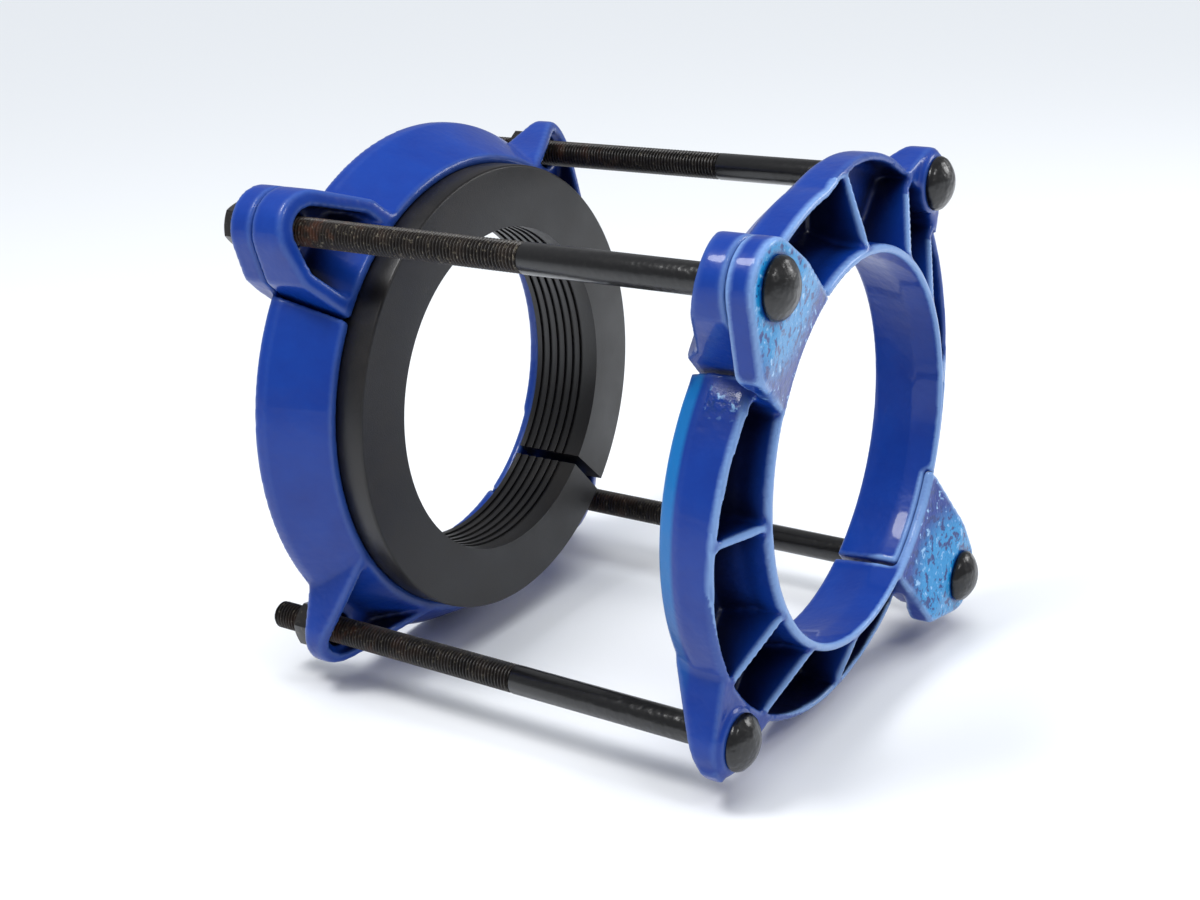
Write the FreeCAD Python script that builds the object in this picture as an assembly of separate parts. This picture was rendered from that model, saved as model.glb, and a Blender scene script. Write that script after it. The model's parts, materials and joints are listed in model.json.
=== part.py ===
import FreeCAD, Part
import math
import os

# Bell-joint pipe restraint for 8-inch PVC water pipe, in millimetres.
# +X runs along the pipe, from the spigot side to the bell side, and +Z is up.
# The origin is on the pipe's axis, in the outer face of the bell-side ring.

# Pipe and bolting
pipe_radius = 114.94
ring_spacing = 345.0
bolt_circle_radius = 198.0
rod_radius = 9.525
thread_radius = 9.45
bolt_hole_radius = 11.1

# Sizes that the castings of both rings share
lip_radius = 122.8
lip_wall = 5.6
rim_wall = 5.2
rib_thickness = 5.0
radial_rib_angle = 43.0
flank_rib_offset = 28.0
mid_ear_lobe_radius = 23.5
mid_ear_half_width = 48.0
mid_ear_flare_radius = 158.0
mid_ear_wall = 7.5
split_ear_lobe_radius = 27.0
split_ear_wall = 10.5
ear_base = 12.0
pad_radius = 20.0
lap_clearance = 0.2
face_gap = 0.5
parting_gap = 3.0

# Bell-side ring
bell_face_slope = 0.36
bell_upper_rim_radius = 147.5
bell_upper_rim_offset = 42.5
bell_upper_flank_radius = 169.5
bell_lower_rim_radius = 146.5
bell_lower_rim_offset = 32.2
bell_lower_flank_radius = 151.0
bell_rim_depth = 39.0
bell_depth = 54.0
bell_upper_shoulder_drop = 14.0
bell_lower_shoulder_drop = 5.5
bell_floor_depth = 43.0
bell_lip_length = 20.0
bell_seat_radius = 131.0
bell_lap_depth = 7.0
bell_lug_stand_out = 10.5
bell_split_ear_half_width = 42.0
bell_inner_lug_flare_radius = 174.0
bell_lug_far_flare_radius = 125.0
bell_lug_near_half_width = 37.5
bell_lug_near_flare_width = 47.0
bell_lug_near_flare_radius = 175.0
bell_ear_recess = 19.5
bell_pad_recess = 16.0
bell_mid_ear_back_slope = 0.40
bell_split_ear_back_slope = 0.33
bell_parting_offset = 27.0

# Stub left by the gate on the lower ear of the bell-side ring
gate_stub_length = 13.0
gate_stub_width = 14.0
gate_stub_height = 2.5
gate_stub_recess = 19.0

# Spigot-side ring
spigot_face_slope = 0.0
spigot_rim_radius = 183.0
spigot_rim_depth = 9.5
spigot_depth = 48.6
spigot_shoulder_drop = 20.0
spigot_floor_depth = 36.0
spigot_lip_length = 10.0
spigot_lap_depth = 1.5
spigot_lug_stand_out = 17.0
spigot_split_ear_half_width = 35.0
spigot_split_ear_flare_radius = 190.0
spigot_inner_lug_near_half_width = 42.0
spigot_inner_lug_near_flare_radius = 174.0
spigot_pad_recess = 4.5
spigot_mid_ear_back_slope = 0.55
spigot_split_ear_back_slope = 0.38
spigot_parting_offset = 35.0

# Split grip ring
grip_outer_radius = 157.5
grip_nose_radius = 141.0
grip_nose_depth = 14.0
grip_stand_out = 20.3
grip_seat_clearance = 0.3
grip_bore_clearance = 0.1
grip_split_width = 8.0
grip_groove_depth = 1.6
grip_groove_width = 4.6
grip_groove_pitch = 7.0
grip_first_groove = 4.2
grip_edge_chamfer = 1.5

# Tie bolts and nuts
head_radius = 18.0
head_edge = 3.5
head_dome = 8.5
plain_shank = 165.0
nut_across_flats = 28.6
nut_height = 16.3
nut_chamfer_angle = 30.0
nut_bore_clearance = 0.06
nut_seat_clearance = 0.1
split_ear_rod_stub = 4.0
mid_ear_rod_stub = 25.0
rod_end_chamfer = 1.5

# Directions from the pipe's axis, in degrees from +Z towards +Y
upper_half_angle = 45.0
lower_half_angle = -135.0

X_AXIS = FreeCAD.Vector(1, 0, 0)
ORIGIN = FreeCAD.Vector(0, 0, 0)
FAR = 2 * bolt_circle_radius


def revolved(points, offset=0.0):
    """Solid of (x, radius) points turned about an axis along X that is raised by offset."""
    corners = [FreeCAD.Vector(x, 0, offset + radius) for x, radius in points]
    face = Part.Face(Part.makePolygon(corners + corners[:1]))
    return face.revolve(FreeCAD.Vector(0, 0, offset), X_AXIS, 360)


def block(x_low, x_high, y_low, y_high, z_low, z_high):
    corner = FreeCAD.Vector(x_low, y_low, z_low)
    return Part.makeBox(x_high - x_low, y_high - y_low, z_high - z_low, corner)


def turned(shape, degrees):
    """Copy of a shape, turned about the pipe's axis from +Z towards +Y."""
    copy = shape.copy()
    copy.rotate(ORIGIN, X_AXIS, -degrees)
    return copy


def cylinder(radius, x_low, x_high, z=0.0):
    return Part.makeCylinder(radius, x_high - x_low, FreeCAD.Vector(x_low, 0, z), X_AXIS)


def ear_plate(lobe_radius, sides, x_low, x_high):
    """Ear along +Z, each of whose sides ends in a tangent to a round lobe about the bolt.

    The sides are the +Y and the -Y one. Each is given by its half width up to the lip and by
    the half width and radius, larger than the lip's, where its tangent starts.
    """
    outline = []
    for sign, (base_width, flare_width, flare_radius) in zip((1, -1), sides):
        reach = bolt_circle_radius - flare_radius
        distance = math.hypot(reach, flare_width)
        heading = math.atan2(reach, -flare_width) - math.asin(lobe_radius / distance)
        run = math.sqrt(distance ** 2 - lobe_radius ** 2)
        tangent = (flare_width + run * math.cos(heading), flare_radius + run * math.sin(heading))
        edge = [(base_width, 0), (base_width, lip_radius), (flare_width, flare_radius), tangent]
        outline.extend((sign * y, z) for y, z in edge[::sign])
    corners = [FreeCAD.Vector(x_low, y, z) for y, z in outline]
    face = Part.Face(Part.makePolygon(corners + corners[:1]))
    plate = face.extrude(FreeCAD.Vector(x_high - x_low, 0, 0))
    return plate.fuse(cylinder(lobe_radius, x_low, x_high, bolt_circle_radius))


def mid_ear_plate(x_low, x_high, inset=0.0):
    width = mid_ear_half_width - inset
    side = (width, width, mid_ear_flare_radius)
    return ear_plate(mid_ear_lobe_radius - inset, (side, side), x_low, x_high)


def split_ear_plate(sides, x_low, x_high, margin=0.0):
    grown = [(base + margin, flare + margin, radius) for base, flare, radius in sides]
    return ear_plate(split_ear_lobe_radius + margin, grown, x_low, x_high)


def at_both_splits(shape):
    """A half's split-ear shape, drawn along +Z, at its -Y and mirrored at its +Y split."""
    mirrored = shape.mirror(ORIGIN, FreeCAD.Vector(0, 1, 0))
    return [turned(shape, -90), turned(mirrored, 90)]


def behind(depth, end_radius, slope):
    """Space behind an ear whose back slopes forwards from the ring's back edge."""
    far_depth = -depth + slope * (FAR - end_radius)
    return revolved([(-FAR, end_radius), (-depth, end_radius), (far_depth, FAR), (-FAR, FAR)])


def mid_ear(ring):
    """Ear in the middle of a half, cored from behind down to the base its bolt bears on."""
    front = -ring["ear_recess"]
    back_radius = ring["rims"][0][0] - ring["shoulder_drop"] + ring["rims"][0][1]
    core = mid_ear_plate(-ring["depth"], front - ear_base, mid_ear_wall)
    ear = mid_ear_plate(-ring["depth"], front)
    return ear.cut(behind(ring["depth"], back_radius, ring["mid_ear_slope"])).cut(core)


def outer_lug(ring):
    """Outer layer of a lap, whose face rises from the lip to the pad under the bolt.

    Its half lies towards +Y and the half it reaches over lies towards -Y.
    """
    pad_start = bolt_circle_radius - pad_radius
    stand_out = ring["lug_stand_out"]
    above = revolved(
        [
            (0, 0), (0, lip_radius + lip_wall), (stand_out, pad_start), (stand_out, FAR),
            (FAR, FAR), (FAR, 0),
        ]
    )
    lug = split_ear_plate(ring["outer_lug_sides"], -ring["lap_depth"], stand_out)
    return lug.cut(above)


def inner_lug(ring):
    """Inner layer of a lap, under the outer lug and cored from behind like a mid ear."""
    front = -ring["lap_depth"] - lap_clearance
    sides = ring["inner_lug_sides"]
    core = split_ear_plate(sides, -ring["depth"], front - ear_base, -split_ear_wall)
    core_side = -ring["parting_offset"] + split_ear_wall
    core = core.common(block(-FAR, FAR, core_side, FAR, 0, FAR))
    lug = split_ear_plate(sides, -ring["depth"], front)
    back_radius = ring["rims"][0][0] - ring["shoulder_drop"]
    return lug.cut(behind(ring["depth"], back_radius, ring["split_ear_slope"])).cut(core)


def ribs(depth):
    """Two radial ribs and the two ribs that flank the mid ear."""
    half = rib_thickness / 2
    radial = block(-depth, FAR, -half, half, lip_radius, FAR)
    shapes = [turned(radial, side * radial_rib_angle) for side in (-1, 1)]
    for side in (-1, 1):
        middle = side * flank_rib_offset
        shapes.append(block(-depth, FAR, middle - half, middle + half, 0, FAR))
    return shapes


def rim_shape(ring, wall, back):
    """Rounds that make up the rim, wall inside its outer surface and ending at X = -back."""
    fall = ring["shoulder_drop"] / (ring["depth"] - ring["rim_depth"]) * (back - ring["rim_depth"])
    rounds = []
    for radius, offset in ring["rims"]:
        outside = radius - wall
        end = (-back, outside - fall)
        profile = [(0, 0), (0, outside), (-ring["rim_depth"], outside), end, (-back, 0)]
        rounds.append(revolved(profile, offset))
    return rounds[0].multiFuse(rounds[1:]) if len(rounds) > 1 else rounds[0]


def pockets(ring, ends):
    """Spaces between the lip and the rim, open on the outer face and parted by the ribs."""
    space = rim_shape(ring, rim_wall, ring["floor_depth"]).cut(revolved(ring["core"]))
    return space.cut(ends).cut(ribs(ring["depth"]))


def half_ring(ring, lugs):
    """Half ring with its mid ear along +Z and its split ears along +Y and -Y.

    The outer face looks along +X and its lip lies at X = 0. In a ring, bore is the profile
    of the opening for the pipe and core that of the wall round it. lugs says whether the
    split ears are the outer or the inner layer of the lap over the other half.
    """
    parting = ring["parting_offset"]
    slab = rim_shape(ring, 0, ring["depth"])
    fall = -ring["face_slope"] * (FAR - lip_radius)
    slab = slab.cut(revolved([(FAR, 0), (0, 0), (0, lip_radius), (fall, FAR), (FAR, FAR)]))

    # Outer lugs reach below Z = 0, over the other half. An inner half's front and pockets end a
    # little clear of the other half's lugs, which reach above Z = 0
    if lugs == "outer":
        lap = -ring["lap_depth"]
        back_edge = parting + parting_gap
        lug = outer_lug(ring)
        wall = block(-FAR, FAR, -FAR, FAR, -FAR, back_edge + rib_thickness)
        outlines = at_both_splits(split_ear_plate(ring["outer_lug_sides"], -FAR, FAR))
        pocket_ends = [wall] + outlines
        front_space = block(lap, FAR, -FAR, FAR, -FAR, 0).cut(outlines)
    else:
        lap = -ring["lap_depth"] - lap_clearance
        back_edge = -parting
        lug = inner_lug(ring)
        other_lug = split_ear_plate(ring["outer_lug_sides"][::-1], -FAR, FAR, face_gap)
        pocket_ends = [block(-FAR, FAR, -FAR, FAR, -FAR, 0)] + at_both_splits(other_lug)
        front_space = pocket_ends[0].multiFuse(pocket_ends[1:])
        front_space = front_space.common(block(lap, FAR, -FAR, FAR, -FAR, FAR))

    ears = [mid_ear(ring)] + at_both_splits(lug)
    solid = slab.multiFuse(ears).cut(pockets(ring, pocket_ends))
    pad_front = -ring["pad_recess"]
    pad = cylinder(pad_radius, -ring["ear_recess"] - ear_base, pad_front, bolt_circle_radius)
    solid = solid.fuse(pad).cut(revolved(ring["bore"])).cut(front_space)
    solid = solid.cut(block(-FAR, lap, -FAR, FAR, -FAR, back_edge))
    solid = solid.cut(cylinder(pad_radius, pad_front, FAR, bolt_circle_radius))
    for degrees in (-90, 0, 90):
        hole = turned(cylinder(bolt_hole_radius, -FAR, FAR, bolt_circle_radius), degrees)
        solid = solid.cut(hole)
    return solid.removeSplitter()


def bell_ring_half(lugs, rims, shoulder_drop):
    """Back-up ring half, whose cone bears on the shoulder of the bell."""
    wall = lip_radius + lip_wall
    seat_wall = bell_seat_radius + lip_wall
    width = bell_split_ear_half_width
    inner_side = (width, width, bell_inner_lug_flare_radius)
    near_side = (bell_lug_near_half_width, bell_lug_near_flare_width, bell_lug_near_flare_radius)
    far_side = (width, width, bell_lug_far_flare_radius)
    ring = {
        "rims": rims,
        "rim_depth": bell_rim_depth,
        "shoulder_drop": shoulder_drop,
        "depth": bell_depth,
        "face_slope": bell_face_slope,
        "floor_depth": bell_floor_depth,
        "lap_depth": bell_lap_depth,
        "lug_stand_out": bell_lug_stand_out,
        "inner_lug_sides": (inner_side, inner_side),
        "outer_lug_sides": (near_side, far_side),
        "ear_recess": bell_ear_recess,
        "pad_recess": bell_pad_recess,
        "mid_ear_slope": bell_mid_ear_back_slope,
        "split_ear_slope": bell_split_ear_back_slope,
        "parting_offset": bell_parting_offset,
        "bore": [
            (FAR, 0), (FAR, lip_radius), (-bell_lip_length, lip_radius),
            (-bell_depth, bell_seat_radius), (-FAR, bell_seat_radius), (-FAR, 0),
        ],
        "core": [
            (FAR, 0), (FAR, wall), (-bell_lip_length, wall), (-bell_depth, seat_wall),
            (-bell_depth, 0),
        ],
    }
    return half_ring(ring, lugs)


def spigot_ring_half(lugs):
    """Wedge ring half, whose cone closes the grip ring on the spigot."""
    nose = grip_nose_radius + grip_seat_clearance
    mouth = grip_outer_radius + grip_seat_clearance
    width = spigot_split_ear_half_width
    lug_side = (width, width, spigot_split_ear_flare_radius)
    wide = spigot_inner_lug_near_half_width
    near_side = (wide, wide, spigot_inner_lug_near_flare_radius)
    ring = {
        "rims": [(spigot_rim_radius, 0.0)],
        "rim_depth": spigot_rim_depth,
        "shoulder_drop": spigot_shoulder_drop,
        "depth": spigot_depth,
        "face_slope": spigot_face_slope,
        "floor_depth": spigot_floor_depth,
        "lap_depth": spigot_lap_depth,
        "lug_stand_out": spigot_lug_stand_out,
        "inner_lug_sides": (near_side, lug_side),
        "outer_lug_sides": (lug_side, lug_side),
        "ear_recess": spigot_pad_recess,
        "pad_recess": spigot_pad_recess,
        "mid_ear_slope": spigot_mid_ear_back_slope,
        "split_ear_slope": spigot_split_ear_back_slope,
        "parting_offset": spigot_parting_offset,
        "bore": [
            (FAR, 0), (FAR, lip_radius), (-spigot_lip_length, lip_radius),
            (-spigot_lip_length, nose), (-grip_nose_depth, nose), (-spigot_depth, mouth),
            (-FAR, mouth), (-FAR, 0),
        ],
        "core": [
            (FAR, 0), (FAR, lip_radius + lip_wall), (0, lip_radius + lip_wall),
            (-spigot_lip_length + lip_wall, nose + lip_wall), (-grip_nose_depth, nose + lip_wall),
            (-spigot_depth, mouth + lip_wall), (-spigot_depth, 0),
        ],
    }
    return half_ring(ring, lugs).mirror(ORIGIN, X_AXIS)


def grip_ring():
    """Wedge-shaped split ring with sharp lands in its bore, in the spigot ring's frame."""
    bore = pipe_radius + grip_bore_clearance
    back = grip_nose_depth
    front = spigot_depth + grip_stand_out
    profile = [
        (back, bore), (back, grip_nose_radius), (spigot_depth, grip_outer_radius),
        (front - grip_edge_chamfer, grip_outer_radius), (front, grip_outer_radius - grip_edge_chamfer),
        (front, bore),
    ]
    ring = revolved(profile)
    count = int((front - back - grip_groove_pitch) / grip_groove_pitch)
    for number in range(count):
        start = back + grip_first_groove + grip_groove_pitch * number
        groove = [
            (start, 0), (start, bore + grip_groove_depth), (start + grip_groove_width, bore),
            (start + grip_groove_width, 0),
        ]
        ring = ring.cut(revolved(groove))
    half = grip_split_width / 2
    gap = block(0, FAR, -half, half, 0, FAR)
    return ring.cut(turned(gap, upper_half_angle + 90))


def tie_bolt(seat, end):
    """Domed-head bolt along -X with its head's seat and its thread's end at the given X."""
    profile = [
        (end, 0), (end, thread_radius - rod_end_chamfer), (end + rod_end_chamfer, thread_radius),
        (seat - plain_shank, thread_radius), (seat - plain_shank, rod_radius), (seat, rod_radius),
        (seat, head_radius), (seat + head_edge, head_radius),
    ]
    corners = [FreeCAD.Vector(x, 0, bolt_circle_radius + r) for x, r in profile]
    top = FreeCAD.Vector(seat + head_edge + head_dome, 0, bolt_circle_radius)
    bend = (head_dome ** 2 + head_radius ** 2) / (2 * head_dome)
    middle_angle = math.asin(head_radius / bend) / 2
    middle = FreeCAD.Vector(
        top.x - bend * (1 - math.cos(middle_angle)),
        0,
        bolt_circle_radius + bend * math.sin(middle_angle),
    )
    edges = Part.makePolygon(corners).Edges
    edges.append(Part.Arc(corners[-1], middle, top).toShape())
    edges.append(Part.makeLine(top, corners[0]))
    face = Part.Face(Part.Wire(edges))
    return face.revolve(FreeCAD.Vector(0, 0, bolt_circle_radius), X_AXIS, 360)


def hex_nut(seat):
    """Hex nut that bears on a seat facing -X, with its outer corners turned off."""
    corner_radius = nut_across_flats / math.sqrt(3)
    low = seat - nut_seat_clearance - nut_height
    corners = []
    for step in range(6):
        angle = math.radians(60 * step)
        y = corner_radius * math.sin(angle)
        z = bolt_circle_radius + corner_radius * math.cos(angle)
        corners.append(FreeCAD.Vector(low, y, z))
    face = Part.Face(Part.makePolygon(corners + corners[:1]))
    prism = face.extrude(FreeCAD.Vector(nut_height, 0, 0))
    flat = nut_across_flats / 2
    fall = (corner_radius - flat) * math.tan(math.radians(nut_chamfer_angle))
    turning = revolved(
        [
            (low, 0), (low, flat), (low + fall, corner_radius), (low + nut_height, corner_radius),
            (low + nut_height, 0),
        ],
        bolt_circle_radius,
    )
    hole = cylinder(thread_radius + nut_bore_clearance, low, low + nut_height, bolt_circle_radius)
    return prism.common(turning).cut(hole)


def placed(shape, x, degrees):
    """Copy turned to its direction and moved along the pipe."""
    copy = turned(shape, degrees)
    copy.translate(FreeCAD.Vector(x, 0, 0))
    return copy


def write(shape, name):
    shape.exportStep(os.path.join("parts", name + ".step"))


os.makedirs("parts", exist_ok=True)

upper_rims = [(bell_upper_rim_radius, bell_upper_rim_offset), (bell_upper_flank_radius, 0.0)]
lower_rims = [(bell_lower_rim_radius, bell_lower_rim_offset), (bell_lower_flank_radius, 0.0)]
gate_stub = block(
    -gate_stub_recess - gate_stub_length, -gate_stub_recess,
    -gate_stub_width / 2, gate_stub_width / 2,
    bolt_circle_radius + mid_ear_lobe_radius - mid_ear_wall,
    bolt_circle_radius + mid_ear_lobe_radius + gate_stub_height,
)
upper_bell = bell_ring_half("inner", upper_rims, bell_upper_shoulder_drop)
lower_bell = bell_ring_half("outer", lower_rims, bell_lower_shoulder_drop).fuse(gate_stub)
write(placed(upper_bell, 0, upper_half_angle), "bell_ring_upper_half")
write(placed(lower_bell, 0, lower_half_angle), "bell_ring_lower_half")

write(placed(spigot_ring_half("inner"), -ring_spacing, upper_half_angle), "spigot_ring_upper_half")
write(placed(spigot_ring_half("outer"), -ring_spacing, lower_half_angle), "spigot_ring_lower_half")
write(placed(grip_ring(), -ring_spacing, 0), "grip_ring")

# Each ear's name, its direction, the seats of its head and nut, and the rod past the nut
split_seats = (bell_lug_stand_out, -ring_spacing - spigot_lug_stand_out)
mid_seats = (-bell_pad_recess, -ring_spacing + spigot_pad_recess)
ear_places = [
    ("upper_front", upper_half_angle - 90, split_seats, split_ear_rod_stub),
    ("upper_rear", upper_half_angle, mid_seats, mid_ear_rod_stub),
    ("lower_front", lower_half_angle, mid_seats, mid_ear_rod_stub),
    ("lower_rear", upper_half_angle + 90, split_seats, split_ear_rod_stub),
]
for name, degrees, (head_seat, nut_seat), stub in ear_places:
    rod_end = nut_seat - nut_seat_clearance - nut_height - stub
    write(turned(tie_bolt(head_seat, rod_end), degrees), "tie_bolt_" + name)
    write(turned(hex_nut(nut_seat), degrees), "hex_nut_" + name)
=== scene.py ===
import json
import math

import bpy
from mathutils import Matrix, Vector

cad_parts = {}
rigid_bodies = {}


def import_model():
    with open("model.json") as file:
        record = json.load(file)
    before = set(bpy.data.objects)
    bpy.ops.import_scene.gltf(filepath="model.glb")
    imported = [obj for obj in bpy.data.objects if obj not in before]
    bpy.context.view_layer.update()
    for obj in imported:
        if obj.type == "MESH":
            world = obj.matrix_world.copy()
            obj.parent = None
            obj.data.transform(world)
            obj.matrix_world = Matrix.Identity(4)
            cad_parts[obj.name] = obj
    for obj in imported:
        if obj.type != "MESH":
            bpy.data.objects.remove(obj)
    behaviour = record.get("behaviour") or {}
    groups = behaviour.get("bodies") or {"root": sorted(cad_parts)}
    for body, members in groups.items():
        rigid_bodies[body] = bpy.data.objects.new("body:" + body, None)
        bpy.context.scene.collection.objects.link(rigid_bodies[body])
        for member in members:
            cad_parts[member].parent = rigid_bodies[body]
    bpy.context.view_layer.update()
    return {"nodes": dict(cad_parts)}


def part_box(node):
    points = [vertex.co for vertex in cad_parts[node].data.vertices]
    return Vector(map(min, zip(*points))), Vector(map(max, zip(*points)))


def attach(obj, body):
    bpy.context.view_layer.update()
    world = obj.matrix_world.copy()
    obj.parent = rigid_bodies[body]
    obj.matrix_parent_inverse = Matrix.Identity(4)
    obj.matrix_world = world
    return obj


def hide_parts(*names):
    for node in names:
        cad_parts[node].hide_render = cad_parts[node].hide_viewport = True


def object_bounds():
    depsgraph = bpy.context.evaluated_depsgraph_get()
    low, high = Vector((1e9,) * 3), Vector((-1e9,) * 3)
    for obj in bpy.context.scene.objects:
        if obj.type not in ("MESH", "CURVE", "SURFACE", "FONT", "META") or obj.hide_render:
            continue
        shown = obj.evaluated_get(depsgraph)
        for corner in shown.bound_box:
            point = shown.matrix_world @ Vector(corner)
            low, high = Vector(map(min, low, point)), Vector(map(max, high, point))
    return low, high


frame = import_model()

# Bell-side ring
# Two half rings of ductile iron, cast in green sand, with the small rounds of a pattern on each
# edge. Their split ears lap over each other and the bolts hold them shut. The dip left a blue
# enamel on them, and the face of each outer lug kept the rough skin of the sand.

# Numbers of the sockets that share a name on their node: a Mix node's share, its two colours and
# its result, and a Math node's two factors and what is added to them.
SHARE, UNDER, OVER, MIXED = 0, 6, 7, 2
FACTOR, TIMES, PLUS = 0, 1, 2


def linear(hex_colour):
    """Linear RGBA of an sRGB colour written as six hex digits, by the sRGB curve."""
    channels = [int(hex_colour[i:i + 2], 16) / 255 for i in (0, 2, 4)]
    curve = [c / 12.92 if c <= 0.04045 else ((c + 0.055) / 1.055) ** 2.4 for c in channels]
    return (*curve, 1.0)


def add_node(material, kind, inputs=None, **settings):
    """A node with its settings, and its inputs as values or as other nodes' outputs."""
    node = material.node_tree.nodes.new(kind)
    for name, value in settings.items():
        setattr(node, name, value)
    for name, value in (inputs or {}).items():
        if isinstance(value, bpy.types.NodeSocket):
            material.node_tree.links.new(value, node.inputs[name])
        else:
            node.inputs[name].default_value = value
    return node


def new_material(name):
    """An empty material, with the object's own coordinates in metres."""
    material = bpy.data.materials.new(name)
    material.use_nodes = True
    material.node_tree.nodes.clear()
    place = add_node(material, "ShaderNodeTexCoord").outputs["Object"]
    return material, place


def finish_material(material, shader):
    """Send the shader to the material's surface."""
    add_node(material, "ShaderNodeOutputMaterial", {"Surface": shader.outputs["BSDF"]})


def per_metre(millimetres):
    """Noise scale that gives features of this size."""
    return 1000 / millimetres


# Cobalt enamel on sand-cast iron, dipped and baked: a wet shine on a soft, slightly lumpy ground.
# Its front edges are pale, from rubbed-thin enamel and a painted highlight; the pockets carry
# painted shade, near-black; the rough lug faces break into pits and painted glints, with a painted
# cyan reflection on them and on the lower half's shoulder. The grain is drawn coarser than real
# sand, so that it shows.
ENAMEL_BLUE = "0C3E9A"
ENAMEL_SHADE = "0B2D82"
ENAMEL_WORN_LIT_EDGE = "84A9DC"
ENAMEL_POCKET_SHADE = "06071E"
ENAMEL_PAINTED_REFLECTION = "108CCC"
ENAMEL_PIT = "09347C"
# Painted glints: pale blue-white specks on the rough skin.
ENAMEL_PAINTED_GLINT = "8FBEE8"
CAST_LUMPS_MM = 26
ORANGE_PEEL_MM = 5
SAND_GRAIN_MM = 1.6
ROUGH_SKIN_MM = 5.5

# From none to full: noise in the rough skin's pits, noise in its painted glints, bend at an edge.
PIT_BAND = (0.465, 0.395)
GLINT_BAND = (0.60, 0.68)
EDGE_BAND = (0.506, 0.532)

# Painted shade in the pockets: how far away a wall counts, from what openness to what, and how
# dark at most.
POCKET_SHADE_REACH = 0.050
POCKET_SHADE_BAND = (0.70, 0.42)
POCKET_SHADE_MOST = 0.96

# Heights in metres of the cast lumps and of the fine relief, and what each part adds to the fine
# relief.
LUMP_HEIGHT = 0.0022
FINE_HEIGHT = 0.0004
PEEL_PART = 0.6
GRAIN_PART = 0.15
SKIN_PART = 3.5
COAT_ROUGHNESS = 0.34
SKIN_ROUGHNESS = 0.30

enamel, place = new_material("cobalt_enamel_on_cast_iron")
lumps = add_node(enamel, "ShaderNodeTexNoise", {
    "Vector": place, "Scale": per_metre(CAST_LUMPS_MM), "Detail": 3.0, "Roughness": 0.55,
})
peel = add_node(enamel, "ShaderNodeTexNoise", {
    "Vector": place, "Scale": per_metre(ORANGE_PEEL_MM), "Detail": 2.0, "Roughness": 0.5,
})
grain = add_node(enamel, "ShaderNodeTexNoise", {
    "Vector": place, "Scale": per_metre(SAND_GRAIN_MM), "Detail": 2.0, "Roughness": 0.6,
})
skin = add_node(enamel, "ShaderNodeTexNoise", {
    "Vector": place, "Scale": per_metre(ROUGH_SKIN_MM), "Detail": 2.5, "Roughness": 0.6,
})
rough_skin_and_glints = add_node(enamel, "ShaderNodeAttribute", attribute_name="rough_skin_and_glints")
painted_reflection = add_node(enamel, "ShaderNodeAttribute", attribute_name="painted_reflection")
worn_lit_edge = add_node(enamel, "ShaderNodeAttribute", attribute_name="worn_lit_edge")
surface = add_node(enamel, "ShaderNodeNewGeometry")
lumpy_blue = add_node(enamel, "ShaderNodeMix", {
    SHARE: lumps.outputs["Fac"], UNDER: linear(ENAMEL_SHADE), OVER: linear(ENAMEL_BLUE),
}, data_type="RGBA")
# Painted reflection: pale cyan mixed into the blue on the outer lug faces and the lower half's
# shoulder.
blue = add_node(enamel, "ShaderNodeMix", {
    SHARE: painted_reflection.outputs["Fac"], UNDER: lumpy_blue.outputs[MIXED], OVER: linear(ENAMEL_PAINTED_REFLECTION),
}, data_type="RGBA")

# Pits and painted glints on the rough skin, then the pale front edges (rubbed-thin enamel and a
# painted highlight), each over the blue before it.
for amount, band, part, colour in (
    (skin.outputs["Fac"], PIT_BAND, rough_skin_and_glints, ENAMEL_PIT),
    (skin.outputs["Fac"], GLINT_BAND, rough_skin_and_glints, ENAMEL_PAINTED_GLINT),
    (surface.outputs["Pointiness"], EDGE_BAND, worn_lit_edge, ENAMEL_WORN_LIT_EDGE),
):
    mask = add_node(enamel, "ShaderNodeMapRange", {
        "Value": amount, "From Min": band[0], "From Max": band[1],
    })
    cover = add_node(enamel, "ShaderNodeMath", {
        FACTOR: mask.outputs["Result"], TIMES: part.outputs["Fac"],
    }, operation="MULTIPLY")
    blue = add_node(enamel, "ShaderNodeMix", {
        SHARE: cover.outputs["Value"], UNDER: blue.outputs[MIXED], OVER: linear(colour),
    }, data_type="RGBA")

# Painted shade: the colour goes near-black where walls stand close, in the pockets and recesses.
openness = add_node(
    enamel, "ShaderNodeAmbientOcclusion", {"Distance": POCKET_SHADE_REACH}, only_local=True,
)
pocket_shade = add_node(enamel, "ShaderNodeMapRange", {
    "Value": openness.outputs["AO"], "From Min": POCKET_SHADE_BAND[0], "From Max": POCKET_SHADE_BAND[1],
    "To Max": POCKET_SHADE_MOST,
})
enamel_colour = add_node(enamel, "ShaderNodeMix", {
    SHARE: pocket_shade.outputs["Result"], UNDER: blue.outputs[MIXED], OVER: linear(ENAMEL_POCKET_SHADE),
}, data_type="RGBA")
peel_height = add_node(enamel, "ShaderNodeMath", {
    FACTOR: peel.outputs["Fac"], TIMES: PEEL_PART,
}, operation="MULTIPLY")
coat_height = add_node(enamel, "ShaderNodeMath", {
    FACTOR: grain.outputs["Fac"], TIMES: GRAIN_PART, PLUS: peel_height.outputs["Value"],
}, operation="MULTIPLY_ADD")
skin_height = add_node(enamel, "ShaderNodeMath", {
    FACTOR: skin.outputs["Fac"], TIMES: rough_skin_and_glints.outputs["Fac"],
}, operation="MULTIPLY")
fine_height = add_node(enamel, "ShaderNodeMath", {
    FACTOR: skin_height.outputs["Value"], TIMES: SKIN_PART, PLUS: coat_height.outputs["Value"],
}, operation="MULTIPLY_ADD")
lump_bump = add_node(enamel, "ShaderNodeBump", {
    "Height": lumps.outputs["Fac"], "Distance": LUMP_HEIGHT, "Strength": 0.6,
})
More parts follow.
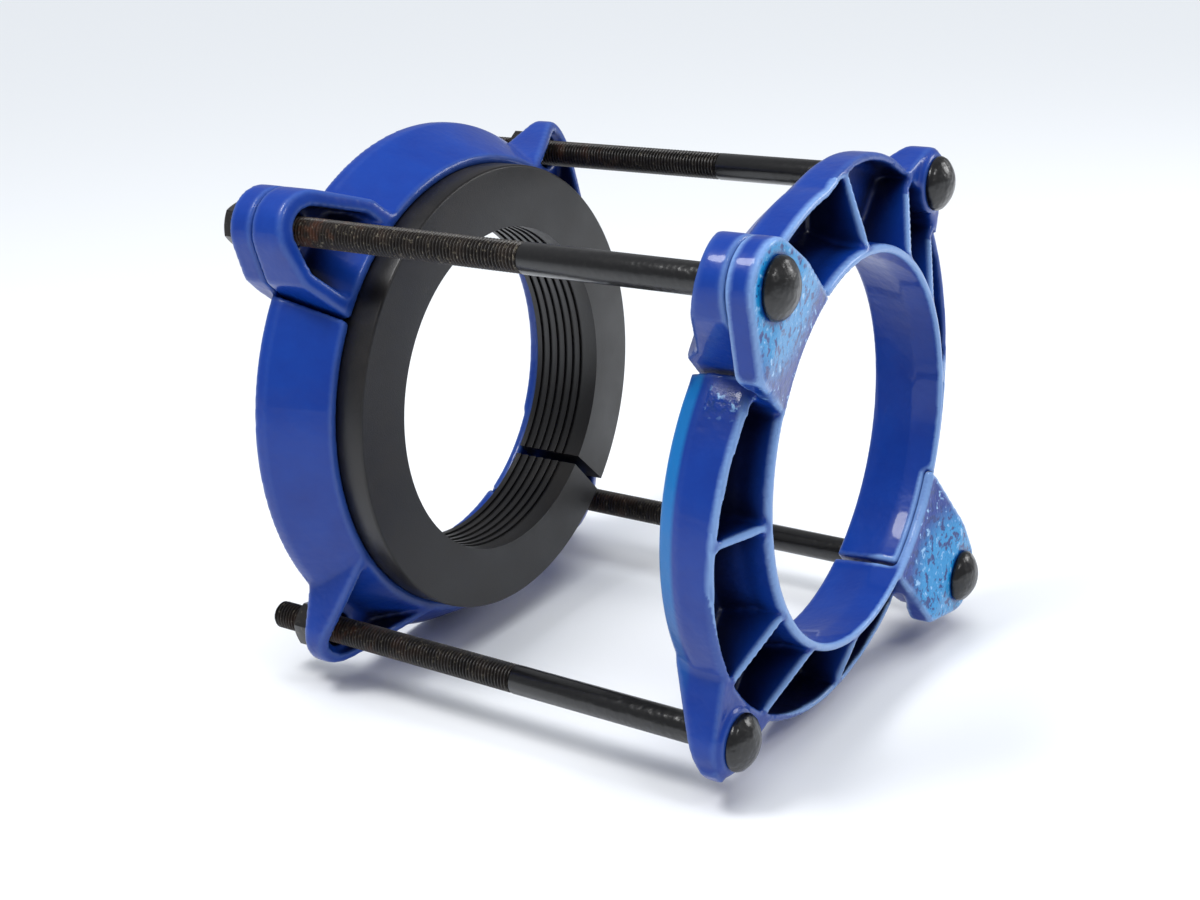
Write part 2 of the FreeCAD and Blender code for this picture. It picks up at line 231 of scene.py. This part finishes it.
enamel_bump = add_node(enamel, "ShaderNodeBump", {
    "Height": fine_height.outputs["Value"], "Distance": FINE_HEIGHT, "Strength": 0.5,
    "Normal": lump_bump.outputs["Normal"],
})
enamel_gloss = add_node(enamel, "ShaderNodeMapRange", {
    "Value": rough_skin_and_glints.outputs["Fac"], "To Min": COAT_ROUGHNESS, "To Max": SKIN_ROUGHNESS,
})
finish_material(enamel, add_node(enamel, "ShaderNodeBsdfPrincipled", {
    "Base Color": enamel_colour.outputs[MIXED], "Roughness": enamel_gloss.outputs["Result"],
    "IOR": 1.5, "Specular IOR Level": 0.22, "Coat Weight": 0.3, "Coat Roughness": 0.05,
    "Normal": enamel_bump.outputs["Normal"],
}))

# Where the outer lugs point, in degrees from +Z to +Y, and the radius that the bolts stand on.
UPPER_FRONT = -45
LOWER_REAR = 135
BOLT_CIRCLE = 0.198

# The mesh of a casting: voxel sizes and rounds of smoothing, fine first so that the edges come out
# round, then coarser.
FINE_VOXEL = 0.0009
FINE_ROUNDS = 16
VOXEL = 0.0017
SMOOTH_ROUNDS = 3
SMOOTH_FACTOR = 0.5
MERGE = 0.00002

# The round at the root of an outer lug: its place as x, radius and distance to the side, how far it
# reaches and how often it is smoothed.
LUG_ROOT = (-0.004, 0.150, 0.041)
ROOT_REACH = 0.014
ROOT_ROUNDS = 50

# The rough face of an outer lug, which stops at the pad under the bolt's head, and the painted cyan
# reflection round its middle.
LUG_FACE_X = -0.002
LUG_HALF_WIDTH = 0.050
FACE_FADE = 0.003
FACING = 0.8
PAD_EDGE = 0.021
REFLECTION_MIDDLE = (0.188, 0.012)
REFLECTION_START = 0.060
REFLECTION_END = 0.042

# The painted cyan reflection on the lower half's shoulder, behind this x and rising between two
# heights.
SHOULDER_X = -0.0415
SHOULDER_FADE = 0.003
SHOULDER_REFLECTION = 0.5
SHOULDER_LOW = -0.12
SHOULDER_HIGH = -0.03

# The rough patch on the rim's outer face, in degrees round from the upper front lug. Its skin
# carries pits and painted glints.
OUTER_FACE = 0.148
RIM_SKIN_X = -0.036
RIM_SKIN_START = 13
RIM_SKIN_END = 22
RIM_SKIN_FADE = 4

# The x at which the pale edges (rubbed-thin enamel and a painted highlight) start and are full, on
# the lugs and on the ring inside them.
WORN_LIT_LUG_X = (-0.011, -0.005)
WORN_LIT_RING_X = (-0.030, -0.020)
WORN_LIT_RING_RADIUS = 0.172
WORN_LIT_LEAST = 0.12
WORN_LIT_MOST = 0.8


def only(piece):
    """Make this piece the one that is active and selected."""
    for other in bpy.context.view_layer.objects:
        other.select_set(False)
    piece.select_set(True)
    bpy.context.view_layer.objects.active = piece


def apply_modifier(piece, kind, **settings):
    """Add a modifier with its settings and apply it."""
    only(piece)
    modifier = piece.modifiers.new(kind.lower(), kind)
    for name, value in settings.items():
        setattr(modifier, name, value)
    bpy.ops.object.modifier_apply(modifier=modifier.name)


def merged_copy(node_name, piece_name):
    """A copy of a node's mesh with its loose triangles merged."""
    mesh = frame["nodes"][node_name].data.copy()
    piece = bpy.data.objects.new(piece_name, mesh)
    bpy.context.scene.collection.objects.link(piece)
    only(piece)
    bpy.ops.object.mode_set(mode="EDIT")
    bpy.ops.mesh.select_all(action="SELECT")
    bpy.ops.mesh.remove_doubles(threshold=MERGE)
    bpy.ops.object.mode_set(mode="OBJECT")
    return piece


def mark(piece, name, values):
    """Store one number per vertex for the material to read."""
    attribute = piece.data.attributes.new(name, "FLOAT", "POINT")
    attribute.data.foreach_set("value", values)


def dress(piece, material, body_name, node_name):
    """Give a finished piece its material and tie it to the frame."""
    piece.data.materials.clear()
    piece.data.materials.append(material)
    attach(piece, body_name)
    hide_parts(node_name)


def along_ear(point, degrees):
    """Radius along an ear's direction and distance to its side, degrees from +Z to +Y."""
    sine, cosine = math.sin(math.radians(degrees)), math.cos(math.radians(degrees))
    return point.y * sine + point.z * cosine, point.y * cosine - point.z * sine


def ramp(value, start, end):
    """0 at start, 1 at end and straight between. The end may lie below the start."""
    return min(1.0, max(0.0, (value - start) / (end - start)))


def casting(node_name, body_name):
    """A half ring with its edges rounded as in the sand mould, and its front edges made pale as
    rubbed-thin enamel and a painted highlight.
    """
    piece = merged_copy(node_name, node_name + "_casting")
    for voxel, rounds in ((FINE_VOXEL, FINE_ROUNDS), (VOXEL, SMOOTH_ROUNDS)):
        apply_modifier(piece, "REMESH", mode="VOXEL", voxel_size=voxel, use_smooth_shade=True)
        apply_modifier(piece, "SMOOTH", factor=SMOOTH_FACTOR, iterations=rounds)
    front = []
    for vertex in piece.data.vertices:
        on_ring = math.hypot(vertex.co.y, vertex.co.z) < WORN_LIT_RING_RADIUS
        front.append(ramp(vertex.co.x, *(WORN_LIT_RING_X if on_ring else WORN_LIT_LUG_X)))
    # Pale front edges, as rubbed-thin enamel and as a painted highlight.
    mark(piece, "worn_lit_edge", [
        WORN_LIT_LEAST + (WORN_LIT_MOST - WORN_LIT_LEAST) * share for share in front
    ])
    dress(piece, enamel, body_name, node_name)
    return piece


def soften_root(piece, degrees, side):
    """Fill the corner between an outer lug's side and the rim with a wide round."""
    x, radius, offset = LUG_ROOT
    group = piece.vertex_groups.new(name="lug_root")
    for vertex in piece.data.vertices:
        reach, across = along_ear(vertex.co, degrees)
        distance = math.dist((vertex.co.x, reach, across), (x, radius, side * offset))
        if distance < ROOT_REACH:
            group.add([vertex.index], ramp(distance, ROOT_REACH, ROOT_REACH / 2), "REPLACE")
    apply_modifier(
        piece, "SMOOTH", factor=SMOOTH_FACTOR, iterations=ROOT_ROUNDS, vertex_group="lug_root",
    )
    piece.vertex_groups.clear()


def lug_face(vertex):
    """Share of an outer lug's rough face at a vertex, and of the painted cyan reflection there."""
    shares = [(0.0, 0.0)]
    for degrees in (UPPER_FRONT, LOWER_REAR):
        reach, across = along_ear(vertex.co, degrees)
        if reach > 0 and abs(across) < LUG_HALF_WIDTH and vertex.normal.x > FACING:
            off_bolt = math.hypot(reach - BOLT_CIRCLE, across)
            share = ramp(off_bolt, PAD_EDGE - FACE_FADE, PAD_EDGE)
            share *= ramp(vertex.co.x, LUG_FACE_X - FACE_FADE, LUG_FACE_X)
            off_middle = math.dist((reach, across), REFLECTION_MIDDLE)
            shares.append((share, share * ramp(off_middle, REFLECTION_START, REFLECTION_END)))
    return max(shares)


def rim_skin(vertex):
    """Share of rough skin on the rim's outer face beside the upper front lug."""
    reach, across = along_ear(vertex.co, UPPER_FRONT)
    if math.hypot(reach, across) < OUTER_FACE or vertex.co.x < RIM_SKIN_X:
        return 0.0
    turn = math.degrees(math.atan2(-across, reach))
    return min(
        ramp(turn, RIM_SKIN_START, RIM_SKIN_START + RIM_SKIN_FADE),
        ramp(turn, RIM_SKIN_END, RIM_SKIN_END - RIM_SKIN_FADE),
    )


def painted_shoulder_reflection(vertex):
    """Share of the painted cyan reflection on the shoulder behind the pockets."""
    off_axis = math.hypot(vertex.co.y, vertex.co.z)
    return (
        SHOULDER_REFLECTION * ramp(vertex.co.x, SHOULDER_X, SHOULDER_X - SHOULDER_FADE)
        * ramp(vertex.co.z, SHOULDER_LOW, SHOULDER_HIGH)
        * ramp(off_axis, OUTER_FACE - SHOULDER_FADE, OUTER_FACE)
    )


casting("bell_ring_upper_half", "bell_ring")
bell_lower = casting("bell_ring_lower_half", "bell_ring")
soften_root(bell_lower, UPPER_FRONT, -1)
soften_root(bell_lower, LOWER_REAR, 1)
# The rough skin with its painted glints, and the painted cyan reflection, marked on the lower half.
skins, reflections = [], []
for vertex in bell_lower.data.vertices:
    face_skin, face_reflection = lug_face(vertex)
    skins.append(max(face_skin, rim_skin(vertex)))
    reflections.append(max(face_reflection, painted_shoulder_reflection(vertex)))
mark(bell_lower, "rough_skin_and_glints", skins)
mark(bell_lower, "painted_reflection", reflections)

# Spigot-side ring
# Two more half rings from the same foundry and dip, with a smooth cone on the side that faces the
# bell-side ring. The cone inside them squeezes the grip ring as the bolts are tightened. The seats
# of the nuts in their middle ears are cut flat.

UPPER_REAR = 45
LOWER_FRONT = -135

# The ring round a bolt that is cut flat, how much the cut evens out, and the gap under the nut.
SEAT_INNER = 0.012
SEAT_OUTER = 0.0178
SEAT_REACH = 0.0015
SEAT_GAP = 0.0001


def cut_seat(piece, ear, degrees):
    """Flatten the rounded seat of a nut out to the circle that its corners sweep."""
    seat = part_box("hex_nut_" + ear)[1].x + SEAT_GAP
    for vertex in piece.data.vertices:
        reach, across = along_ear(vertex.co, degrees)
        off_bolt = math.hypot(reach - BOLT_CIRCLE, across)
        if SEAT_INNER < off_bolt < SEAT_OUTER and abs(vertex.co.x - seat) < SEAT_REACH:
            vertex.co.x = seat


spigot_upper = casting("spigot_ring_upper_half", "spigot_ring")
spigot_lower = casting("spigot_ring_lower_half", "spigot_ring")
cut_seat(spigot_upper, "upper_rear", UPPER_REAR)
cut_seat(spigot_lower, "lower_front", LOWER_FRONT)

# Grip ring
# A split wedge ring of black moulded polymer with saw-tooth lands in its bore. Its cone sits in the
# spigot-side ring, which squeezes it shut, and its flat face stands out towards the bell-side ring.

# Black moulded polymer, turned on its outer face: a dull, slightly greasy black with a faint
# brown haze of dust, fine pores, and a thin bright line where light catches its outer corner.
GRIP_BLACK = "0E0D0F"
GRIP_DUST = "26221F"
GRIP_STREAK_MM = 38
GRIP_GRAIN_MM = 0.9

# From none to full: noise of the dust and of the dull streaks, and what they come to.
DUST_BAND = (0.48, 0.72)
DUST_MOST = 0.5
STREAK_BAND = (0.3, 0.7)
STREAK_ROUGHNESS = (0.32, 0.48)
PORE_DEPTH = 0.0002

polymer, place = new_material("black_moulded_polymer")
streaks = add_node(polymer, "ShaderNodeTexNoise", {
    "Vector": place, "Scale": per_metre(GRIP_STREAK_MM), "Detail": 4.0, "Roughness": 0.6,
})
pores = add_node(polymer, "ShaderNodeTexNoise", {
    "Vector": place, "Scale": per_metre(GRIP_GRAIN_MM), "Detail": 2.0,
})
dust = add_node(polymer, "ShaderNodeMapRange", {
    "Value": streaks.outputs["Fac"], "From Min": DUST_BAND[0], "From Max": DUST_BAND[1],
    "To Max": DUST_MOST,
})
polymer_colour = add_node(polymer, "ShaderNodeMix", {
    SHARE: dust.outputs["Result"], UNDER: linear(GRIP_BLACK), OVER: linear(GRIP_DUST),
}, data_type="RGBA")
polymer_gloss = add_node(polymer, "ShaderNodeMapRange", {
    "Value": streaks.outputs["Fac"], "From Min": STREAK_BAND[0], "From Max": STREAK_BAND[1],
    "To Min": STREAK_ROUGHNESS[0], "To Max": STREAK_ROUGHNESS[1],
})
pore_bump = add_node(polymer, "ShaderNodeBump", {
    "Height": pores.outputs["Fac"], "Distance": PORE_DEPTH, "Strength": 0.5,
})
finish_material(polymer, add_node(polymer, "ShaderNodeBsdfPrincipled", {
    "Base Color": polymer_colour.outputs[MIXED], "Roughness": polymer_gloss.outputs["Result"],
    "IOR": 1.5, "Normal": pore_bump.outputs["Normal"],
}))

# Radii, the length of the cylinder behind the flat face, and the round of its corner.
GRIP_BORE = 0.11504
GRIP_OUTER = 0.1575
GRIP_NOSE = 0.141
GRIP_CYLINDER = 0.0203
GRIP_EDGE = 0.0018

# The split: its width and the way it points. The grooves start this share of a pitch from the nose.
GRIP_SPLIT = 0.008
GRIP_SPLIT_DEGREES = 135
GROOVE_DEPTH = 0.0016
GROOVE_WIDTH = 0.0046
GROOVE_PITCH = 0.007
GROOVE_START = 0.6
GROOVE_COUNT = 6

FULL_TURN = 360
SEED_SIZE = 0.001
ROUND_STEPS = 4
GRIP_STEPS = 180
GRIP_SMOOTH_DEGREES = 28


def arc(centre, radius, first_degrees, last_degrees, count=ROUND_STEPS):
    """Points of an arc in (x, radius), from one angle to the other."""
    points = []
    for number in range(count + 1):
        turn = math.radians(first_degrees + (last_degrees - first_degrees) * number / count)
        points.append((centre[0] + radius * math.cos(turn), centre[1] + radius * math.sin(turn)))
    return points


def drawn_line(name, points):
    """A line through (x, radius) points above the X axis, extruded from one merged vertex."""
    bpy.ops.object.select_all(action="DESELECT")
    bpy.ops.mesh.primitive_plane_add(size=SEED_SIZE, location=(0, 0, 0))
    line = bpy.context.object
    line.name = name
    bpy.ops.object.mode_set(mode="EDIT")
    bpy.ops.mesh.select_all(action="SELECT")
    bpy.ops.mesh.merge(type="CENTER")
    bpy.ops.transform.translate(value=(points[0][0], 0, points[0][1]))
    for (x, radius), (next_x, next_radius) in zip(points, points[1:]):
        bpy.ops.mesh.extrude_vertices_move(
            TRANSFORM_OT_translate={"value": (next_x - x, 0, next_radius - radius)}
        )
    bpy.ops.object.mode_set(mode="OBJECT")
    return line


def spun(line, steps, degrees=FULL_TURN):
    """Turn the line about the X axis into a closed surface that faces outwards."""
    only(line)
    bpy.ops.object.mode_set(mode="EDIT")
    bpy.ops.mesh.select_all(action="SELECT")
    bpy.ops.mesh.spin(
        steps=steps, angle=math.radians(degrees), center=(0, 0, 0), axis=(1, 0, 0),
    )
    bpy.ops.mesh.select_all(action="SELECT")
    bpy.ops.mesh.remove_doubles(threshold=MERGE)
    if degrees < FULL_TURN:
        bpy.ops.mesh.select_all(action="DESELECT")
        bpy.ops.mesh.select_non_manifold()
        bpy.ops.mesh.edge_face_add()
        bpy.ops.mesh.select_all(action="SELECT")
    bpy.ops.mesh.normals_make_consistent(inside=False)
    bpy.ops.object.mode_set(mode="OBJECT")


def smooth_faces(piece, degrees):
    """Shade smooth across every edge that bends less than this."""
    only(piece)
    bpy.ops.object.shade_smooth_by_angle(angle=math.radians(degrees))


grip_low, grip_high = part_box("grip_ring")
grip_profile = [
    (grip_low.x, GRIP_BORE), (grip_low.x, GRIP_NOSE), (grip_high.x - GRIP_CYLINDER, GRIP_OUTER),
]
grip_profile += arc((grip_high.x - GRIP_EDGE, GRIP_OUTER - GRIP_EDGE), GRIP_EDGE, 90, 0)
grip_profile.append((grip_high.x, GRIP_BORE))
for number in reversed(range(GROOVE_COUNT)):
    start = grip_low.x + GROOVE_PITCH * (number + GROOVE_START)
    grip_profile += [
        (start + GROOVE_WIDTH, GRIP_BORE), (start, GRIP_BORE + GROOVE_DEPTH), (start, GRIP_BORE),
    ]
grip_profile.append(grip_profile[0])
grip = drawn_line("grip_ring_moulding", grip_profile)
split_degrees = math.degrees(GRIP_SPLIT / ((GRIP_BORE + GRIP_OUTER) / 2))
spun(grip, GRIP_STEPS, FULL_TURN - split_degrees)
split_turn = math.radians(-GRIP_SPLIT_DEGREES - split_degrees / 2)
grip.data.transform(Matrix.Rotation(split_turn, 4, "X"))
smooth_faces(grip, GRIP_SMOOTH_DEGREES)
dress(grip, polymer, "spigot_ring", "grip_ring")

# Tie bolts
# Four 3/4-inch bolts of medium carbon steel, through the ears of both rings, with forged domed
# heads and long rolled threads. Black oxide keeps the shanks dark, and the threads have gone
# rust-brown in their roots.

# Black oxide on steel: a thin mineral skin, so dark and not metallic to the eye, with a film of
# oil that gives sharp grey streaks. Forged heads are lightly dented. On the threads the skin has
# rusted to brown-black with tan specks, and to orange near the ears.
OXIDE_BLACK = "0B0B0D"
OXIDE_WORN = "1C1B1B"
RUST_DARK = "1A1614"
RUST_MID = "332B25"
RUST_TAN = "847C6C"
RUST_ORANGE = "4A2A1A"
RUST_PATCH_MM = 11
SPECK_MM = 2.6
FORGED_DENT_MM = 6

# From none to full: noise of the worn oxide, the lighter rust, the orange and the tan specks.
WORN_BAND = (0.5, 0.75)
WORN_MOST = 0.6
RUST_BAND = (0.42, 0.68)
ORANGE_BAND = (0.5, 0.6)
ORANGE_COVER = (0.05, 0.9)
TAN_BAND = (0.58, 0.70)
TAN_MOST = 0.8
OXIDE_ROUGHNESS = 0.3
RUST_ROUGHNESS = 0.5
DENT_DEPTH = 0.0016
SCALE_PART = 0.008

oxide, place = new_material("black_oxide_steel")
patches = add_node(oxide, "ShaderNodeTexNoise", {
    "Vector": place, "Scale": per_metre(RUST_PATCH_MM), "Detail": 4.0, "Roughness": 0.6,
})
specks = add_node(oxide, "ShaderNodeTexNoise", {
    "Vector": place, "Scale": per_metre(SPECK_MM), "Detail": 3.0, "Roughness": 0.65,
})
dents = add_node(oxide, "ShaderNodeTexNoise", {
    "Vector": place, "Scale": per_metre(FORGED_DENT_MM), "Detail": 1.5,
})
threaded = add_node(oxide, "ShaderNodeAttribute", attribute_name="threaded")
forged = add_node(oxide, "ShaderNodeAttribute", attribute_name="forged")
near_ear = add_node(oxide, "ShaderNodeAttribute", attribute_name="near_ear")
worn = add_node(oxide, "ShaderNodeMapRange", {
    "Value": specks.outputs["Fac"], "From Min": WORN_BAND[0], "From Max": WORN_BAND[1],
    "To Max": WORN_MOST,
})
steel = add_node(oxide, "ShaderNodeMix", {
    SHARE: worn.outputs["Result"], UNDER: linear(OXIDE_BLACK), OVER: linear(OXIDE_WORN),
}, data_type="RGBA")
rust_tone = add_node(oxide, "ShaderNodeMapRange", {
    "Value": patches.outputs["Fac"], "From Min": RUST_BAND[0], "From Max": RUST_BAND[1],
})
brown = add_node(oxide, "ShaderNodeMix", {
    SHARE: rust_tone.outputs["Result"], UNDER: linear(RUST_DARK), OVER: linear(RUST_MID),
}, data_type="RGBA")
orange_cover = add_node(oxide, "ShaderNodeMapRange", {
    "Value": patches.outputs["Fac"], "From Min": ORANGE_BAND[0], "From Max": ORANGE_BAND[1],
    "To Min": ORANGE_COVER[0], "To Max": ORANGE_COVER[1],
})
orange_mask = add_node(oxide, "ShaderNodeMath", {
    FACTOR: orange_cover.outputs["Result"], TIMES: near_ear.outputs["Fac"],
}, operation="MULTIPLY")
orange = add_node(oxide, "ShaderNodeMix", {
    SHARE: orange_mask.outputs["Value"], UNDER: brown.outputs[MIXED], OVER: linear(RUST_ORANGE),
}, data_type="RGBA")
tan_mask = add_node(oxide, "ShaderNodeMapRange", {
    "Value": specks.outputs["Fac"], "From Min": TAN_BAND[0], "From Max": TAN_BAND[1],
    "To Max": TAN_MOST,
})
rust = add_node(oxide, "ShaderNodeMix", {
    SHARE: tan_mask.outputs["Result"], UNDER: orange.outputs[MIXED], OVER: linear(RUST_TAN),
}, data_type="RGBA")
oxide_colour = add_node(oxide, "ShaderNodeMix", {
    SHARE: threaded.outputs["Fac"], UNDER: steel.outputs[MIXED], OVER: rust.outputs[MIXED],
}, data_type="RGBA")
oxide_gloss = add_node(oxide, "ShaderNodeMapRange", {
    "Value": threaded.outputs["Fac"], "To Min": OXIDE_ROUGHNESS, "To Max": RUST_ROUGHNESS,
})
dent_height = add_node(oxide, "ShaderNodeMath", {
    FACTOR: dents.outputs["Fac"], TIMES: forged.outputs["Fac"],
}, operation="MULTIPLY")
scaly_height = add_node(oxide, "ShaderNodeMath", {
    FACTOR: specks.outputs["Fac"], TIMES: SCALE_PART, PLUS: dent_height.outputs["Value"],
}, operation="MULTIPLY_ADD")
oxide_bump = add_node(oxide, "ShaderNodeBump", {
    "Height": scaly_height.outputs["Value"], "Distance": DENT_DEPTH, "Strength": 0.7,
})
finish_material(oxide, add_node(oxide, "ShaderNodeBsdfPrincipled", {
    "Base Color": oxide_colour.outputs[MIXED], "Roughness": oxide_gloss.outputs["Result"],
    "IOR": 1.5, "Specular IOR Level": 0.5, "Coat Weight": 0.2, "Coat Roughness": 0.1,
    "Normal": oxide_bump.outputs["Normal"],
}))

# Radii and the pitch of a 3/4-10 thread, the plain length under the head, and the cone where the
# thread runs out.
SHANK_RADIUS = 0.009525
THREAD_RADIUS = 0.00945
THREAD_ROOT = 0.0079
PITCH = 0.00254
PLAIN_SHANK = 0.165
RUN_OUT = 0.003
END_CHAMFER = 0.0015

# The domed head: its radius, the height of its edge and its dome, the round of its corner, and how
# far inside the rim the dome starts.
HEAD_RADIUS = 0.018
HEAD_EDGE = 0.0035
HEAD_DOME = 0.0085
HEAD_CORNER = 0.0012
DOME_EDGE_DEGREES = 4
FORGED_FADE = 0.004

# One pitch of the thread as shares of the pitch and radii: root, flank, flat top, flank and root.
THREAD_FORM = (
    (0.0, THREAD_ROOT), (0.16, THREAD_ROOT), (0.44, THREAD_RADIUS),
    (0.60, THREAD_RADIUS), (0.88, THREAD_ROOT), (1.0, THREAD_ROOT),
)

# How rusted each bolt's thread is, and where the orange lies, measured from the thread's end.
RUSTED = {"upper_front": 1.0, "upper_rear": 0.4, "lower_front": 0.55, "lower_rear": 0.7}
ORANGE_FULL = 0.05
ORANGE_FADES = 0.075
ORANGE_ENDS = 0.135

# Turns past each end, which the cuts take off, and the steps of the round shapes.
SPARE_TURNS = 2
DOME_STEPS = 9
SPIN_STEPS = 56
THREAD_STEPS = 26
BOLT_SMOOTH_DEGREES = 35


def rolled_thread(name, low_x, high_x, rusted):
    """A screw surface of flat-topped threads, cut square at both ends, chamfered at the low one."""
    first = low_x - SPARE_TURNS * PITCH
    thread = drawn_line(name, [(first + PITCH * share, radius) for share, radius in THREAD_FORM])
    turns = math.ceil((high_x - first) / PITCH) + SPARE_TURNS
    apply_modifier(
        thread, "SCREW", axis="X", screw_offset=PITCH, iterations=turns, steps=THREAD_STEPS,
        render_steps=THREAD_STEPS, use_merge_vertices=True, merge_threshold=MERGE,
    )
    bpy.ops.object.mode_set(mode="EDIT")
    bpy.ops.mesh.select_all(action="SELECT")
    bpy.ops.mesh.remove_doubles(threshold=MERGE)
    for x, outer in ((low_x, False), (high_x, True)):
        bpy.ops.mesh.select_all(action="SELECT")
        bpy.ops.mesh.bisect(
            plane_co=(x, 0, 0), plane_no=(1, 0, 0), use_fill=True,
            clear_inner=not outer, clear_outer=outer,
        )
    bpy.ops.mesh.select_all(action="SELECT")
    bpy.ops.mesh.normals_make_consistent(inside=False)
    bpy.ops.object.mode_set(mode="OBJECT")
    for vertex in thread.data.vertices:
        reach = math.hypot(vertex.co.y, vertex.co.z)
        limit = THREAD_RADIUS - END_CHAMFER + vertex.co.x - low_x
        if reach > limit:
            vertex.co.y *= limit / reach
            vertex.co.z *= limit / reach
    mark(thread, "threaded", [rusted] * len(thread.data.vertices))
    return thread


def tie_bolt(ear):
    """One bolt, forged at the head and rolled at the thread, through this ear."""
    node = "tie_bolt_" + ear
    low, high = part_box(node)
    seat = high.x - HEAD_EDGE - HEAD_DOME
    thread_end = seat - PLAIN_SHANK
    dome = (HEAD_DOME ** 2 + HEAD_RADIUS ** 2) / (2 * HEAD_DOME)
    rim_degrees = math.degrees(math.asin(HEAD_RADIUS / dome))
    profile = [
        (thread_end, 0.0), (thread_end, THREAD_ROOT), (thread_end + RUN_OUT, SHANK_RADIUS),
        (seat, SHANK_RADIUS), (seat, HEAD_RADIUS - HEAD_CORNER),
    ]
    profile += arc((seat + HEAD_CORNER, HEAD_RADIUS - HEAD_CORNER), HEAD_CORNER, 180, 90)
    profile += [(seat + HEAD_EDGE - HEAD_CORNER, HEAD_RADIUS)]
    profile += arc((high.x - dome, 0.0), dome, rim_degrees - DOME_EDGE_DEGREES, 0, DOME_STEPS)
    bolt = drawn_line(node + "_forged", profile)
    spun(bolt, SPIN_STEPS)
    mark(bolt, "forged", [
        ramp(vertex.co.x, seat - FORGED_FADE, seat) for vertex in bolt.data.vertices
    ])
    thread = rolled_thread(node + "_thread", low.x, thread_end + RUN_OUT / 2, RUSTED[ear])
    only(bolt)
    thread.select_set(True)
    bpy.ops.object.join()
    mark(bolt, "near_ear", [
        ramp(vertex.co.x, low.x, low.x + ORANGE_FULL)
        * ramp(vertex.co.x, low.x + ORANGE_ENDS, low.x + ORANGE_FADES)
        for vertex in bolt.data.vertices
    ])
    axis = (0, (low.y + high.y) / 2, (low.z + high.z) / 2)
    bolt.data.transform(Matrix.Translation(axis))
    smooth_faces(bolt, BOLT_SMOOTH_DEGREES)
    dress(bolt, oxide, "bell_ring", node)


for ear in RUSTED:
    tie_bolt(ear)

# Hex nuts
# A heavy hex nut of the same steel on each bolt, cold forged and tapped. Its corners are turned off
# on the side that the wrench comes from, and it turns against the outer face of its ear.

NUT_EDGE = 0.0005
NUT_EDGE_STEPS = 2
NUT_RUST = 0.25
NUT_SMOOTH_DEGREES = 30

for ear in RUSTED:
    node = "hex_nut_" + ear
    nut = merged_copy(node, node + "_forged")
    apply_modifier(nut, "BEVEL", width=NUT_EDGE, segments=NUT_EDGE_STEPS, limit_method="ANGLE")
    mark(nut, "threaded", [NUT_RUST] * len(nut.data.vertices))
    smooth_faces(nut, NUT_SMOOTH_DEGREES)
    dress(nut, oxide, "nut_" + ear, node)

# Floor, light and camera
# A wide paper floor that touches the lowest edge of the rings, round soft lights above and at the
# sides, an even ceiling, and the photograph's camera.

# Backdrop paper: pale and quite matt, so that it spreads the light and mirrors nothing.
PAPER = "EDEEF0"
FLOOR_SIZE = 80
SKY = "F4F6FA"
SKY_STRENGTH = 0.34

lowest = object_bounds()[0][2]
bpy.ops.object.select_all(action="DESELECT")
bpy.ops.mesh.primitive_plane_add(size=FLOOR_SIZE, location=(0, 0, lowest))
floor = bpy.context.object
floor.name = "studio_floor"
paper = new_material("pale_paper")[0]
finish_material(paper, add_node(paper, "ShaderNodeBsdfPrincipled", {
    "Base Color": linear(PAPER), "Roughness": 0.9,
}))
floor.data.materials.append(paper)

world = bpy.data.worlds.new("studio")
bpy.context.scene.world = world
world.use_nodes = True
background = world.node_tree.nodes["Background"]
background.inputs["Color"].default_value = linear(SKY)
background.inputs["Strength"].default_value = SKY_STRENGTH


def soft_box(name, place, aim, size, power):
    """A round soft light that looks at a point."""
    light_data = bpy.data.lights.new(name, "AREA")
    light_data.shape = "DISK"
    light_data.size = size
    light_data.energy = power
    light = bpy.data.objects.new(name, light_data)
    bpy.context.scene.collection.objects.link(light)
    direction = Vector(aim) - Vector(place)
    light.matrix_world = (
        Matrix.Translation(place) @ direction.to_track_quat("-Z", "Y").to_matrix().to_4x4()
    )


MIDDLE = (-0.17, 0.0, 0.0)
UPPER_FRONT_LUG = (-0.005, -0.16, 0.157)
soft_box("key_left_above", (-0.66, -0.75, 1.65), UPPER_FRONT_LUG, size=0.58, power=17)
soft_box("side_right_behind", (1.05, 1.35, 0.75), MIDDLE, size=0.7, power=9)
soft_box("right_above", (1.1, -0.45, 1.3), MIDDLE, size=0.4, power=5)

# The ceiling is kept out of reflections, where its wide disc would wash out the gloss.
CEILING = "F6FBFF"
CEILING_POWER = 2.3
CEILING_SPREAD_DEGREES = 60

ceiling_data = bpy.data.lights.new("ceiling", "SUN")
ceiling_data.energy = CEILING_POWER
ceiling_data.angle = math.radians(CEILING_SPREAD_DEGREES)
ceiling_data.color = linear(CEILING)[:3]
ceiling = bpy.data.objects.new("ceiling", ceiling_data)
ceiling.visible_glossy = False
bpy.context.scene.collection.objects.link(ceiling)

CAMERA_PLACE = (0.4091, -0.9088, 0.3729)
CAMERA_AZIMUTH = 33.83
CAMERA_ELEVATION = 20.36
CAMERA_ROLL = -2.53
CAMERA_LENS_MM = 50.57

camera_data = bpy.data.cameras.new("camera")
camera_data.lens = CAMERA_LENS_MM
camera = bpy.data.objects.new("camera", camera_data)
bpy.context.scene.collection.objects.link(camera)
camera.matrix_world = (
    Matrix.Translation(CAMERA_PLACE)
    @ Matrix.Rotation(math.radians(CAMERA_AZIMUTH), 4, "Z")
    @ Matrix.Rotation(math.radians(90 - CAMERA_ELEVATION), 4, "X")
    @ Matrix.Rotation(math.radians(CAMERA_ROLL), 4, "Z")
)
bpy.context.scene.camera = camera
bpy.context.scene.view_settings.view_transform = "Standard"
